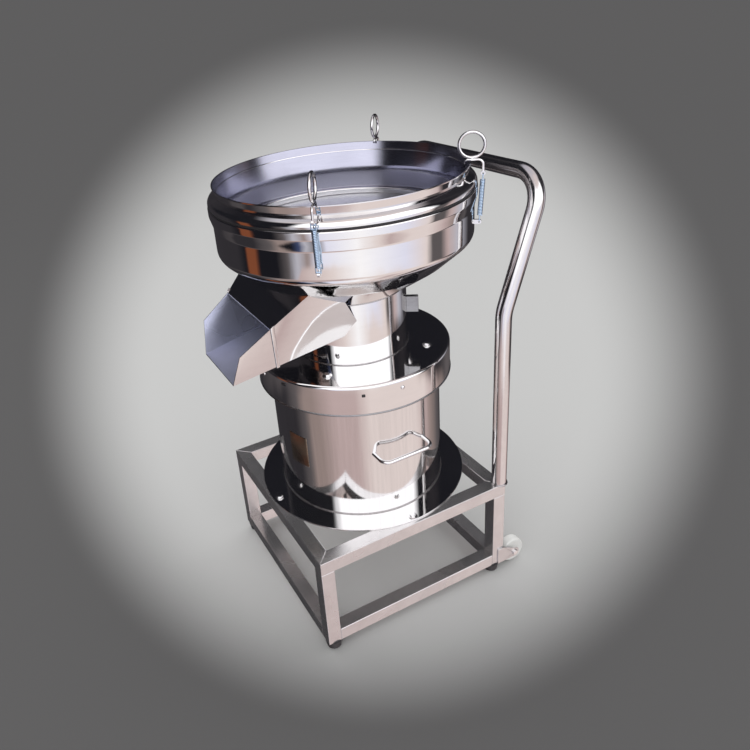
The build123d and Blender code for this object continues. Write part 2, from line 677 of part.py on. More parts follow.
hook_line = FilletPolyline(
    (spring_top_r, 0, spring_top_z + EYE_R - HOOK_SINK),
    (spring_top_r, 0, arm_z),
    (hook_tip_r, 0, arm_z),
    (hook_tip_r, 0, arm_z - HOOK_TIP_DROP),
    radius=[HOOK_BEND_R, HOOK_TIP_BEND_R],
)
hook_start = Plane(origin=(spring_top_r, 0, spring_top_z + EYE_R - HOOK_SINK), z_dir=(0, 0, 1))
hook = sweep(hook_start * Circle(HOOK_WIRE_R), path=hook_line)
hook += top_pin * across * Cylinder(EYE_R, EYE_T)
hook -= top_pin * across * Cylinder(EYE_PIN_R + RUN_GAP, 2 * EYE_T)
pull_z = arm_z + HOOK_WIRE_R + PULL_R - PULL_SINK
pull = Pos(lip_r + PULL_PAST_LIP, 0, pull_z) * across * Torus(PULL_R - PULL_WIRE_R, PULL_WIRE_R)
pull -= sweep(hook_start * Circle(HOOK_WIRE_R), path=hook_line)

for name, azimuth in HOOK_AZ.items():
    placed = low_pin * Rot(0, lean, 0) * spring
    keep("spring_" + name, about(azimuth, placed))
    keep("hook_" + name, about(azimuth, hook))
    keep("pull_ring_" + name, about(azimuth, pull))

for name, shape in nodes.items():
    export_step(shape, "parts/" + name + ".step")
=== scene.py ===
import math

import bpy
from bpy.props import FloatProperty, FloatVectorProperty, IntProperty, PointerProperty
from bpy.types import Operator, Panel, PropertyGroup
from mathutils import Matrix, Vector


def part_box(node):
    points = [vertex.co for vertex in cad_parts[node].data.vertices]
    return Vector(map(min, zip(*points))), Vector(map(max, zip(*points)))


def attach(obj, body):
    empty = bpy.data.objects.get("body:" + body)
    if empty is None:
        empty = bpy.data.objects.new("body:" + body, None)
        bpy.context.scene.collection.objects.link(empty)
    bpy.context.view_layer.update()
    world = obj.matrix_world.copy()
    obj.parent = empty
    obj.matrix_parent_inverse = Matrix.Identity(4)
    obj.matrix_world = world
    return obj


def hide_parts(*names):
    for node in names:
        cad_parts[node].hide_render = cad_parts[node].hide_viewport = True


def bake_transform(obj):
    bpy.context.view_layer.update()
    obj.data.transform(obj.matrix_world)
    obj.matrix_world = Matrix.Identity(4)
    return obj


bl_info = {
    "name": "Vibrating Sieve",
    "version": (1, 0, 0),
    "blender": (4, 5, 0),
    "location": "View3D > Sidebar > Sieve",
    "description": "Dresses the frame of a wheeled vibrating sieve with its sheet, tube and wire finishes",
    "category": "Object",
}

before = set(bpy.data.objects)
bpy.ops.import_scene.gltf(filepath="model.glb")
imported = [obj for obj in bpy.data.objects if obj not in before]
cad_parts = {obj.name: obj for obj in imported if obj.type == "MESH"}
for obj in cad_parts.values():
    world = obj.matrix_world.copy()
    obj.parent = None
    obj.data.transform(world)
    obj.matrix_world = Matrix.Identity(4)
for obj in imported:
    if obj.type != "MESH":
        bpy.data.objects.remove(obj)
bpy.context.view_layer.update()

# Places read from the frame, in metres
DRUM_LOW, DRUM_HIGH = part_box("drum")
COVER_LOW, COVER_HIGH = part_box("dust_cover")
NECK_LOW, NECK_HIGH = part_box("neck")
BOWL_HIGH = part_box("bowl")[1]
PLATE_LOW, PLATE_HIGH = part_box("base_plate")
RING_LOW, RING_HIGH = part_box("sieve_ring")
CLAMP_LOW, CLAMP_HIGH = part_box("mesh_clamp")
AXIS_Y = (DRUM_LOW.y + DRUM_HIGH.y) / 2
AXIS = Vector((0, AXIS_Y, 0))
DRUM_R = DRUM_HIGH.x
COVER_R = COVER_HIGH.x
NECK_R = NECK_HIGH.x
SHEET = 0.002
STEPS_ROUND = 160

# Edges sharper than the first angle are rounded, and faces under the second are shaded as one
SHARP_EDGE = 50.0
SMOOTH_TURN = 35.0

# Width of the rounding on each kind of edge
TUBE_EASE = 0.0016
BOLT_EASE = 0.0006
PLATE_EASE = 0.0004

# Azimuths about the working axis
HOOK_AZ = {"front": -38.0, "right": 51.0, "rear": 132.0}
LABEL_AZ = -73.0
ISOLATION_SPRING_AZ = 43.0
SKIRT_SCREW_AZ = (-2.0, 88.0, 178.0, 268.0)

# Black pieces in the cover's skirt, painted as the shade inside its slot and hole: azimuth, width and height
# above the floor
SKIRT_HOLE_SHADES = ((-71.0, 0.013, 0.561), (-24.0, 0.007, 0.555))


# Small tools
def clear():
    """Nothing selected, object mode."""
    if bpy.context.object and bpy.context.object.mode != "OBJECT":
        bpy.ops.object.mode_set(mode="OBJECT")
    bpy.ops.object.select_all(action="DESELECT")


def pick(ob):
    """Only this object selected and active."""
    clear()
    ob.select_set(True)
    bpy.context.view_layer.objects.active = ob


def settle(ob):
    """Puts the object's place into its mesh."""
    pick(ob)
    bpy.ops.object.transform_apply(location=True, rotation=True, scale=True)


def named(name):
    """Names the primitive that was just added."""
    ob = bpy.context.object
    ob.name = name
    ob.data.name = name
    return ob


def edit(ob):
    """Edit mode with everything selected."""
    pick(ob)
    bpy.ops.object.mode_set(mode="EDIT")
    bpy.ops.mesh.select_mode(type="VERT")
    bpy.ops.mesh.select_all(action="SELECT")


def done():
    """Back to object mode."""
    bpy.ops.object.mode_set(mode="OBJECT")


def modify(ob, kind, **values):
    """Adds a modifier with these values and applies it."""
    pick(ob)
    mod = ob.modifiers.new(kind, kind)
    for key, value in values.items():
        setattr(mod, key, value)
    bpy.ops.object.modifier_apply(modifier=mod.name)


def rounded(ob, width, segments, degrees=SHARP_EDGE):
    """Rounds the edges that turn more than an angle."""
    modify(ob, "BEVEL", width=width, segments=segments, limit_method="ANGLE",
           angle_limit=math.radians(degrees))


def smooth(ob, degrees=SMOOTH_TURN, even=False):
    """Smooth faces up to an angle. Even shading keeps a bevel from tilting the wide faces beside it."""
    pick(ob)
    bpy.ops.object.shade_smooth_by_angle(angle=math.radians(degrees))
    if even:
        modify(ob, "WEIGHTED_NORMAL", keep_sharp=True)


def join(name, pieces):
    """Makes one object of several."""
    clear()
    for piece in pieces:
        piece.select_set(True)
    bpy.context.view_layer.objects.active = pieces[0]
    bpy.ops.object.join()
    return named(name)


def dress(ob, material, body, slot, *nodes):
    """Gives a piece its finish and body, and hides the nodes it stands for. The slot is not used. A blended
    piece has no body.
    """
    ob.data.materials.clear()
    ob.data.materials.append(material)
    if body:
        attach(ob, body)
    if nodes:
        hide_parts(*nodes)
    return ob


def copied(name, node):
    """A copy of a node's mesh with its loose triangles merged."""
    clear()
    ob = bpy.data.objects.new(name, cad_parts[node].data.copy())
    bpy.context.scene.collection.objects.link(ob)
    ob.data.name = name
    edit(ob)
    bpy.ops.mesh.customdata_custom_splitnormals_clear()
    bpy.ops.mesh.remove_doubles(threshold=0.00002)
    done()
    return ob


def eased(name, node, bevel=0.0, angle=SMOOTH_TURN, flat=False):
    """A node's shape, its edges eased and its curved faces smooth. Flat ones first lose their seams."""
    ob = copied(name, node)
    if flat:
        edit(ob)
        bpy.ops.mesh.dissolve_limited(angle_limit=math.radians(1.0))
        done()
    if bevel:
        rounded(ob, bevel, 3)
    smooth(ob, angle, bool(bevel))
    return ob


def out_at(azimuth, reach, height):
    """A point at an azimuth, distance and height from the working axis."""
    turn = math.radians(azimuth)
    return Vector((reach * math.cos(turn), AXIS_Y + reach * math.sin(turn), height))


def bend_run(before, corner, after):
    """Straight length that the bend at a corner of a profile takes from each side."""
    first = Vector((corner[0] - before[0], corner[1] - before[1]))
    second = Vector((after[0] - corner[0], after[1] - corner[1]))
    return corner[2] * math.tan(first.angle(second) / 2)


def profile(name, corners):
    """A line of (radius, height, bend radius) corners, drawn in the plane through the axis."""
    clear()
    bpy.ops.mesh.primitive_plane_add(size=0.002, location=(0, AXIS_Y, 0))
    ob = named(name)
    settle(ob)
    edit(ob)
    bpy.ops.mesh.merge(type="CENTER")
    bpy.ops.mesh.select_all(action="SELECT")
    bpy.ops.transform.translate(value=(corners[0][0], 0, corners[0][1]))
    for before, after in zip(corners, corners[1:]):
        step = (after[0] - before[0], 0, after[1] - before[1])
        bpy.ops.mesh.extrude_region_move(TRANSFORM_OT_translate={"value": step})
    done()
    for before, corner, after in zip(corners, corners[1:], corners[2:]):
        if corner[2]:
            place = Vector((corner[0], AXIS_Y, corner[1]))
            for v in ob.data.vertices:
                v.select = (v.co - place).length < 0.00005
            for e in ob.data.edges:
                e.select = False
            bpy.ops.object.mode_set(mode="EDIT")
            bpy.ops.mesh.select_mode(type="VERT")
            bpy.ops.mesh.bevel(offset=bend_run(before, corner, after), segments=7, affect="VERTICES")
            done()
    return ob


def spun(ob):
    """Turns a profile round the working axis."""
    edit(ob)
    bpy.ops.mesh.spin(steps=STEPS_ROUND, angle=2 * math.pi, center=AXIS, axis=(0, 0, 1))
    bpy.ops.mesh.select_all(action="SELECT")
    bpy.ops.mesh.remove_doubles(threshold=0.00001)
    bpy.ops.mesh.normals_make_consistent(inside=False)
    done()


def turned_sheet(name, *corners, wall=SHEET, edge=0.0004):
    """Sheet turned about the axis. The profile is its outer line, and the wall lies inside it."""
    ob = profile(name, corners)
    spun(ob)
    rim = max(ob.data.polygons, key=lambda p: (p.center - AXIS).to_2d().length)
    if rim.normal.to_2d().dot((rim.center - AXIS).to_2d()) < 0:
        edit(ob)
        bpy.ops.mesh.flip_normals()
        done()
    modify(ob, "SOLIDIFY", thickness=wall, offset=-1.0, use_even_offset=True)
    rounded(ob, edge, 2)
    smooth(ob, 50.0, True)
    return ob


def turned_ring(name, low_r, high_r, low_z, high_z, edge):
    """A ring of square section, its edges rounded."""
    ob = profile(name, [(low_r, low_z, 0), (high_r, low_z, 0), (high_r, high_z, 0), (low_r, high_z, 0)])
    if low_r:
        edit(ob)
        bpy.ops.mesh.edge_face_add()
        bpy.ops.mesh.delete(type="ONLY_FACE")
        done()
    spun(ob)
    rounded(ob, edge, 3)
    smooth(ob, 50.0, True)
    return ob


def bent_rod(name, start, heading, radius, *moves, around=14):
    """A round wire that runs ("run", length) and bends ("bend", degrees, radius, side)."""
    clear()
    bpy.ops.mesh.primitive_circle_add(vertices=around, radius=radius, fill_type="NGON")
    ob = named(name)
    place = Vector(start)
    heading = Vector(heading).normalized()
    ob.rotation_mode = "QUATERNION"
    ob.rotation_quaternion = heading.to_track_quat("Z", "Y")
    ob.location = place
    settle(ob)
    edit(ob)
    for move in moves:
        if move[0] == "run":
            step = heading * move[1]
            bpy.ops.mesh.extrude_region_move(TRANSFORM_OT_translate={"value": step})
            place = place + step
        else:
            degrees, bend_radius, side = move[1:]
            side = Vector(side).normalized()
            centre = place + side * bend_radius
            axis = heading.cross(side)
            bpy.ops.mesh.spin(steps=8, angle=math.radians(degrees), center=centre, axis=axis)
            turn = Matrix.Rotation(math.radians(degrees), 3, axis)
            place = centre + turn @ (place - centre)
            heading = turn @ heading
    bpy.ops.mesh.select_all(action="SELECT")
    bpy.ops.mesh.remove_doubles(threshold=0.000005)
    bpy.ops.mesh.normals_make_consistent(inside=False)
    done()
    smooth(ob, 50.0)
    return ob


# Finishes
def new_material(name):
    """An empty finish with its nodes, links and shader."""
    mat = bpy.data.materials.new(name)
    mat.use_nodes = True
    nodes = mat.node_tree.nodes
    return mat, nodes, mat.node_tree.links, nodes["Principled BSDF"]


def noise(nodes, links, vector, scale, detail=4.0, rough=0.5):
    """Cloudy values over a piece."""
    node = nodes.new("ShaderNodeTexNoise")
    node.inputs["Scale"].default_value = scale
    node.inputs["Detail"].default_value = detail
    node.inputs["Roughness"].default_value = rough
    links.new(vector, node.inputs["Vector"])
    return node.outputs["Fac"]


def stretched(nodes, links, scale):
    """Object coordinates, centred on the working axis and scaled."""
    coords = nodes.new("ShaderNodeTexCoord")
    mapping = nodes.new("ShaderNodeMapping")
    mapping.inputs["Location"].default_value = (0, -AXIS_Y * scale[1], 0)
    mapping.inputs["Scale"].default_value = scale
    links.new(coords.outputs["Object"], mapping.inputs["Vector"])
    return mapping.outputs["Vector"]


def ramp(nodes, links, value, *stops):
    """Colours by value, from (place, colour) stops in rising order."""
    node = nodes.new("ShaderNodeValToRGB")
    line = node.color_ramp
    for element, (place, colour) in zip((line.elements[0], line.elements[1]), (stops[0], stops[-1])):
        element.position = place
        element.color = (*colour, 1.0)
    for place, colour in stops[1:-1]:
        line.elements.new(place).color = (*colour, 1.0)
    links.new(value, node.inputs["Fac"])
    return node.outputs["Color"]


def levels(nodes, links, value, low, high, start=0.0, end=1.0):
    """Eases a value from one range into another."""
    node = nodes.new("ShaderNodeMapRange")
    node.interpolation_type = "SMOOTHSTEP"
    node.inputs["From Min"].default_value = start
    node.inputs["From Max"].default_value = end
    node.inputs["To Min"].default_value = low
    node.inputs["To Max"].default_value = high
    links.new(value, node.inputs["Value"])
    return node.outputs["Result"]


def bump(nodes, links, height, shader, strength, distance, below=None):
    """Relief on a finish, over the relief below it."""
    node = nodes.new("ShaderNodeBump")
    node.inputs["Strength"].default_value = strength
    node.inputs["Distance"].default_value = distance
    links.new(height, node.inputs["Height"])
    if below is not None:
        links.new(below, node.inputs["Normal"])
    links.new(node.outputs["Normal"], shader.inputs["Normal"])
    return node.outputs["Normal"]


def metal(name, colour, rough, wave=0.1, grain=(60, 60, 60), shade=0.06, grain_bump=0.05, metallic=1.0):
    """Steel with a slow waviness, a fine grain and uneven gloss."""
    mat, nodes, links, shader = new_material(name)
    shader.inputs["Metallic"].default_value = metallic
    plain = stretched(nodes, links, (1, 1, 1))
    fine = stretched(nodes, links, grain)
    streaks = noise(nodes, links, fine, 1.0, 5.0, 0.6)
    cloud = noise(nodes, links, plain, 7.0, 2.0)
    low = tuple(c * (1 - shade) for c in colour)
    links.new(ramp(nodes, links, streaks, (0.3, low), (0.7, colour)), shader.inputs["Base Color"])
    gloss = levels(nodes, links, cloud, rough * 0.7, rough * 1.3, 0.25, 0.75)
    links.new(gloss, shader.inputs["Roughness"])
    slow = bump(nodes, links, cloud, shader, wave, 0.004)
    if grain_bump:
        bump(nodes, links, streaks, shader, grain_bump, 0.0004, slow)
    return mat


def coated(name, colour, rough, grain=220.0, depth=0.15, shade=0.12):
    """Moulded or painted stock with a fine pebble."""
    mat, nodes, links, shader = new_material(name)
    plain = stretched(nodes, links, (1, 1, 1))
    fine = noise(nodes, links, plain, grain, 3.0)
    cloud = noise(nodes, links, plain, 25.0, 2.0)
    low = tuple(c * (1 - shade) for c in colour)
    links.new(ramp(nodes, links, cloud, (0.35, low), (0.65, colour)), shader.inputs["Base Color"])
    gloss = levels(nodes, links, cloud, rough * 0.85, min(1.0, rough * 1.2))
    links.new(gloss, shader.inputs["Roughness"])
    bump(nodes, links, fine, shader, depth, 0.0006)
    return mat


def wire_cloth(name, colour):
    """Woven wire: two sets of fine wires, each running over and under the other. The gaps between them are
    painted dark as shade.
    """
    mat, nodes, links, shader = new_material(name)
    shader.inputs["Metallic"].default_value = 1.0
    shader.inputs["Roughness"].default_value = 0.30
    plain = stretched(nodes, links, (1, 1, 1))
    waves = []
    for direction in ("X", "Y"):
        wave = nodes.new("ShaderNodeTexWave")
        wave.bands_direction = direction
        wave.inputs["Scale"].default_value = 160.0
        links.new(plain, wave.inputs["Vector"])
        waves.append(wave.outputs["Fac"])
    most = nodes.new("ShaderNodeMath")
    most.operation = "MAXIMUM"
    links.new(waves[0], most.inputs[0])
    links.new(waves[1], most.inputs[1])
    # The gaps between the wires are painted darker, as shade
    gap_shade = tuple(c * 0.4 for c in colour)
    wires_and_gap_shade = ramp(nodes, links, most.outputs[0], (0.35, gap_shade), (0.8, colour))
    links.new(wires_and_gap_shade, shader.inputs["Base Color"])
    bump(nodes, links, most.outputs[0], shader, 0.35, 0.0005)
    return mat


FINISH = {}


def make_finishes():
    """Every finish, by the name that the pieces use."""
    look = bpy.context.scene.sieve_look
    sheet = tuple(look.sheet_colour)
    tube = tuple(look.tube_colour)
    inside = tuple(look.inside_shade_colour)
    zinc = tuple(look.spring_colour)
    FINISH["polished"] = metal("polished_sheet", sheet, 0.055, 0.10, (14, 14, 90), 0.03, 0.015)
    FINISH["drum"] = metal("drum_sheet", sheet, 0.085, 0.12, (120, 120, 6), 0.10, 0.02)
    # The satin inside sheet is the polished sheet darkened and tinted blue: painted shade inside the sieve
    # ring and neck
    FINISH["shaded_satin_sheet"] = metal("shaded_satin_sheet", inside, 0.18, 0.16, (20, 20, 160), 0.06, 0.03)
    # The dull sheet is a darker, bluer copy of the sheet: painted shade inside the chute
    FINISH["shaded_dull_sheet"] = metal(
        "shaded_dull_sheet", (0.50, 0.52, 0.66), 0.32, 0.1, (40, 40, 40), 0.08, 0.05, 0.7)
    FINISH["tube"] = metal("square_tube", tube, 0.24, 0.05, (40, 40, 40), 0.10, 0.02, 0.9)
    FINISH["round_tube"] = metal("round_tube", tube, 0.12, 0.05, (160, 160, 60), 0.05, 0.02)
    FINISH["wire"] = metal("bright_wire", (0.80, 0.79, 0.79), 0.14, 0.0, (200, 200, 200), 0.05, 0.02)
    FINISH["zinc"] = metal("blue_zinc_wire", zinc, 0.26, 0.0, (300, 300, 300), 0.12, 0.03)
    FINISH["cloth"] = wire_cloth("sieve_cloth", (0.80, 0.80, 0.84))
    FINISH["rubber"] = coated("black_rubber", (0.025, 0.024, 0.027), 0.55, 260.0, 0.2)
    FINISH["nylon"] = coated("white_nylon", (0.86, 0.86, 0.84), 0.38, 180.0, 0.06, 0.05)
    FINISH["motor"] = coated("motor_paint", (0.16, 0.20, 0.24), 0.42, 160.0, 0.2)
    FINISH["iron"] = metal("turned_iron", (0.36, 0.36, 0.37), 0.36, 0.1, (90, 90, 300), 0.15, 0.08)
    FINISH["gland"] = coated("gland_plastic", (0.03, 0.03, 0.032), 0.5, 220.0, 0.1)
    FINISH["label"] = metal("bare_label", (0.50, 0.40, 0.30), 0.30, 0.02, (30, 30, 300), 0.10, 0.04)
    FINISH["seam"] = metal("weld_seam", (0.52, 0.50, 0.50), 0.30, 0.1, (500, 500, 500), 0.3, 0.4)


class SieveLook(PropertyGroup):
    """Sizes and colours of the dressed machine."""

    sheet_colour: FloatVectorProperty(
        name="Polished sheet", description="Colour of the drum, cover, neck and bowl", subtype="COLOR",
        default=(0.79, 0.78, 0.775), min=0.0, max=1.0)
    # The inside colour is darker and bluer than the sheet: painted shade
    inside_shade_colour: FloatVectorProperty(
        name="Sieve inside", description="Colour of the satin inner sheet", subtype="COLOR",
        default=(0.42, 0.42, 0.50), min=0.0, max=1.0)
    tube_colour: FloatVectorProperty(
        name="Tube", description="Colour of the trolley's tube", subtype="COLOR",
        default=(0.74, 0.72, 0.72), min=0.0, max=1.0)
    spring_colour: FloatVectorProperty(
        name="Springs", description="Colour of the zinc plated coils", subtype="COLOR",
        default=(0.56, 0.70, 0.86), min=0.0, max=1.0)
    coil_turns: IntProperty(
        name="Coil turns", description="Turns of each tension spring", default=24, min=4, max=40)
    coil_wire: FloatProperty(
        name="Coil wire", description="Radius of the spring wire", subtype="DISTANCE",
        default=0.00125, min=0.0005, max=0.003)
    label_width: FloatProperty(
        name="Label width", description="Width of the bare plate on the drum", subtype="DISTANCE",
        default=0.051, min=0.01, max=0.2)
    label_height: FloatProperty(
        name="Label height", description="Height of the bare plate on the drum", subtype="DISTANCE",
        default=0.072, min=0.01, max=0.2)


# Pieces
class SIEVE_OT_trolley(Operator):
    """Square tube frame, feet, forks, wheels and bolts"""

    bl_idname = "sieve.trolley"
    bl_label = "Trolley frame"

    def execute(self, context):
        for depth in ("front", "rear"):
            for side in ("left", "right"):
                self.tube("leg_" + depth + "_" + side)
                node = "foot_" + depth + "_" + side
                rubber = eased(node + "_rubber", node, BOLT_EASE)
                dress(rubber, FINISH["rubber"], "cart", "black_rubber", node)
        for level in ("top", "low"):
            for side in ("front", "rear", "left", "right"):
                self.tube(level + "_rail_" + side)
        for side in ("left", "right"):
            node = "wheel_fork_" + side
            dress(eased(node + "_plate", node, 0.0005), FINISH["tube"], "cart", "satin_steel", node)
            node = "wheel_axle_" + side
            dress(eased(node + "_bolt", node, PLATE_EASE), FINISH["wire"], "cart", "bright_wire", node)
            node = "wheel_" + side
            nylon = eased(node + "_nylon", node)
            dress(nylon, FINISH["nylon"], "wheel_body_" + side, "white_nylon", node)
        heads = eased("base_bolt_heads", "base_bolts", BOLT_EASE)
        dress(heads, FINISH["wire"], "cart", "bright_wire", "base_bolts")
        return {"FINISHED"}

    def tube(self, node):
        """One length of the square tube."""
        length = eased(node + "_tube", node, TUBE_EASE, 40.0, True)
        dress(length, FINISH["tube"], "cart", "satin_steel", node)


class SIEVE_OT_push_handle(Operator):
    """Bent round tube behind the machine, with its weld beads"""

    bl_idname = "sieve.push_handle"
    bl_label = "Push handle"

    def execute(self, context):
        tube = eased("push_handle_tube", "push_handle", 0.0, 60.0)
        dress(tube, FINISH["round_tube"], "cart", "polished_steel", "push_handle")
        low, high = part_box("push_handle")
        tube_r = 0.016
        bead_r = 0.0022
        beads = []
        for x in (low.x + tube_r, high.x - tube_r):
            bpy.ops.mesh.primitive_torus_add(
                location=(x, low.y + tube_r, low.z + 0.001), major_segments=40, minor_segments=10,
                major_radius=tube_r + 0.0005, minor_radius=bead_r)
            beads.append(named("handle_bead"))
        beads = join("handle_weld_beads", beads)
        settle(beads)
        smooth(beads, 60.0)
        dress(beads, FINISH["seam"], "cart", "satin_steel")
        return {"FINISHED"}


class SIEVE_OT_drum(Operator):
    """Base plate, motor drum, its handles, gland and bare label plate"""

    bl_idname = "sieve.drum"
    bl_label = "Drum"

    def execute(self, context):
        look = context.scene.sieve_look
        plate = turned_ring("base_plate_disc", 0.0, PLATE_HIGH.x, PLATE_LOW.z, PLATE_HIGH.z, 0.0008)
        dress(plate, FINISH["polished"], "cart", "polished_steel", "base_plate")
        drum = turned_sheet("drum_shell", (DRUM_R, DRUM_LOW.z, 0), (DRUM_R, DRUM_HIGH.z, 0))
        dress(drum, FINISH["drum"], "cart", "polished_steel", "drum")
        weld = 0.0018
        foot = turned_ring(
            "drum_foot_weld", DRUM_R - 0.0005, DRUM_R + weld, DRUM_LOW.z, DRUM_LOW.z + weld, 0.0008)
        dress(foot, FINISH["seam"], "cart", "satin_steel")
        for side in ("left", "right"):
            node = "drum_handle_" + side
            dress(eased(node + "_rod", node, 0.0, 60.0), FINISH["wire"], "cart", "bright_wire", node)
        gland = eased("cable_gland_body", "cable_gland", BOLT_EASE)
        dress(gland, FINISH["gland"], "cart", "gland_plastic", "cable_gland")
        label_z = 0.388
        clear()
        bpy.ops.mesh.primitive_grid_add(x_subdivisions=14, y_subdivisions=2, size=1.0)
        label = named("bare_label_plate")
        for vertex in label.data.vertices:
            azimuth = LABEL_AZ + math.degrees(vertex.co.x * look.label_width / DRUM_R)
            vertex.co = out_at(azimuth, DRUM_R + 0.0002, label_z + vertex.co.y * look.label_height)
        modify(label, "SOLIDIFY", thickness=0.0006, offset=1.0)
        rounded(label, 0.0002, 2)
        smooth(label, 40.0)
        dress(label, FINISH["label"], "cart", "polished_steel")
        return {"FINISHED"}


class SIEVE_OT_motor(Operator):
    """Motor, weights and coil springs inside the drum"""

    bl_idname = "sieve.motor"
    bl_label = "Motor"

    def execute(self, context):
        seat = eased("spring_seat_ring", "spring_seat", PLATE_EASE)
        dress(seat, FINISH["tube"], "cart", "satin_steel", "spring_seat")
        mount = eased("motor_mount_drum", "motor_mount", PLATE_EASE)
        dress(mount, FINISH["tube"], "vibrating_body", "satin_steel", "motor_mount")
        motor = eased("motor_body", "motor_housing", BOLT_EASE)
        dress(motor, FINISH["motor"], "vibrating_body", "motor_paint", "motor_housing")
        for node in ("motor_shaft", "weight_upper", "weight_lower"):
            iron = eased(node + "_iron", node, BOLT_EASE)
            dress(iron, FINISH["iron"], "motor_rotor", "weight_iron", node)
        low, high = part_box("isolation_springs")
        circle_r = 0.163
        coil_r = 0.0128
        wire = 0.0022
        turns = 6
        coils = []
        for quarter in range(4):
            foot = out_at(ISOLATION_SPRING_AZ + 90 * quarter, circle_r, low.z)
            coils.append(coil("isolation_coil", foot, 0.0, 0.0, coil_r, wire, turns, high.z - low.z))
        springs = join("isolation_coils", coils)
        dress(springs, FINISH["zinc"], None, "spring_zinc", "isolation_springs")
        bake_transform(springs)
        return {"FINISHED"}


def coil(name, foot, azimuth, lean, radius, wire, turns, length):
    """A wound spring that stands on its foot, leaning out toward its azimuth."""
    clear()
    bpy.ops.mesh.primitive_circle_add(
        vertices=10, radius=wire, location=(radius, 0, wire), rotation=(math.radians(90), 0, 0),
        fill_type="NOTHING")
    ob = named(name)
    settle(ob)
    modify(ob, "SCREW", angle=2 * math.pi * turns, screw_offset=length - 2 * wire, steps=20 * turns,
           render_steps=20 * turns, axis="Z", use_smooth_shade=True)
    edit(ob)
    bpy.ops.mesh.select_all(action="DESELECT")
    bpy.ops.mesh.select_mode(type="EDGE")
    bpy.ops.mesh.select_non_manifold()
    bpy.ops.mesh.fill_holes(sides=0)
    bpy.ops.mesh.select_all(action="SELECT")
    bpy.ops.mesh.remove_doubles(threshold=0.000005)
    bpy.ops.mesh.normals_make_consistent(inside=False)
    done()
    smooth(ob, 50.0)
    place_at(ob, foot, azimuth, lean)
    return ob


def place_at(ob, foot, azimuth, lean):
    """Leans a piece outwards, turns it to its azimuth and sets its foot down."""
    turn = Matrix.Rotation(math.radians(azimuth), 4, "Z") @ Matrix.Rotation(math.radians(lean), 4, "Y")
    ob.matrix_world = Matrix.Translation(foot) @ turn
    settle(ob)


class SIEVE_OT_body(Operator):
    """Dust cover, neck, bowl and seal"""

    bl_idname = "sieve.body"
    bl_label = "Cover, neck and bowl"

    def execute(self, context):
        body = "vibrating_body"
        cover = turned_sheet(
            "dust_cover_pan", (0.0, COVER_HIGH.z, 0), (COVER_R, COVER_HIGH.z, 0.006),
            (COVER_R, COVER_LOW.z, 0))
        dress(cover, FINISH["polished"], body, "polished_steel", "dust_cover")
        # The bead under the skirt takes the dark iron finish: a painted shadow line below the cover
        bead = turned_ring(
            "skirt_edge_shadow_bead", COVER_R - SHEET, COVER_R + 0.0014, COVER_LOW.z, COVER_LOW.z + 0.004, 0.0015)
        dress(bead, FINISH["iron"], body, "polished_steel")
        weld = 0.0018
        for name, height in (("neck_foot_weld", NECK_LOW.z), ("neck_top_weld", NECK_HIGH.z - 0.001)):
            bead = turned_ring(name, NECK_R - 0.0005, NECK_R + 0.0014, height, height + weld, 0.0007)
            dress(bead, FINISH["seam"], body, "satin_steel")
        for name, node, ease, turn, finish, slot in (
            ("neck_tube", "neck", 0.0, 40.0, "polished", "polished_steel"),
            ("bowl_shell", "bowl", 0.0, 40.0, "polished", "polished_steel"),
            ("neck_floor_sheet", "neck_floor", 0.0, SMOOTH_TURN, "shaded_satin_sheet", "satin_steel"),
            ("neck_lug_plate", "neck_lug", PLATE_EASE, SMOOTH_TURN, "iron", "polished_steel"),
            ("cover_bolt_heads", "cover_bolts", BOLT_EASE, SMOOTH_TURN, "wire", "bright_wire"),
            ("bowl_ear_plates", "bowl_ears", PLATE_EASE, SMOOTH_TURN, "wire", "bright_wire"),
            ("seal_ring", "seal", 0.0008, SMOOTH_TURN, "rubber", "black_rubber"),
        ):
            dress(eased(name, node, ease, turn), FINISH[finish], body, slot, node)
        return {"FINISHED"}


